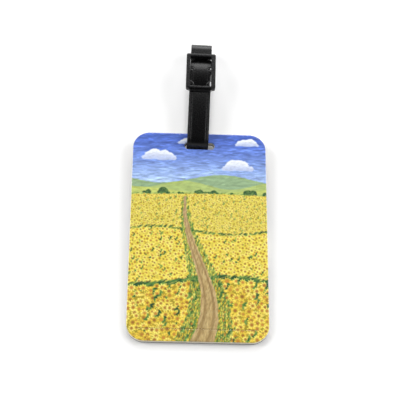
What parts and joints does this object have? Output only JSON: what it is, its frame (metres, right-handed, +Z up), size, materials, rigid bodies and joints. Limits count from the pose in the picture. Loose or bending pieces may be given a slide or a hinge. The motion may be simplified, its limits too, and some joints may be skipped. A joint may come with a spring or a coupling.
{
  "type": "luggage tag",
  "caption": "Flat laminated luggage tag with a rear window pocket for an address card, hung on a soft strap that loops through a slot and closes on a pegged buckle.",
  "frame": {"origin": "centre of the whole tag's box at its lowest level, where the strap's rear leg and the plate's lower edge rest", "axes": "+X across the plate, +Y from the plate's lower edge to the strap's loop, +Z up through the picture side"},
  "size_m": [0.07, 0.1718, 0.0142],
  "materials": {
    "back_panel": "fine-grained dark PVC sheet",
    "window_film": "clear PVC film",
    "pocket_spacer": "white PVC sheet, cut edge",
    "front_panel": "white PVC sheet, cut edge",
    "print_sheet": "printed picture: a plain landscape of flower fields, hills and sky",
    "clear_overlay": "clear satin laminate",
    "address_card": "uncoated paper card with ruled lines",
    "strap": "satin black soft PVC",
    "buckle_frame": "black moulded plastic"
  },
  "bodies": {
    "tag": {"back_panel": "back_panel", "window_film": "window_film", "pocket_spacer": "pocket_spacer", "front_panel": "front_panel", "print_sheet": "print_sheet", "clear_overlay": "clear_overlay"},
    "card": {"address_card": "address_card"},
    "strap": {"strap": "strap", "buckle_frame": "buckle_frame"}
  },
  "joints": [
    {"name": "card_slide", "type": "slide", "parent": "tag", "child": "card", "axis": [1, 0, 0], "range_m": [0, 0.062]},
    {"name": "strap_swing", "type": "hinge", "parent": "tag", "child": "strap", "pos_m": [-0.001, 0.02557, 0.00525], "axis": [0.9996, -0.0279, 0], "range_deg": [-90, 90]}
  ]
}
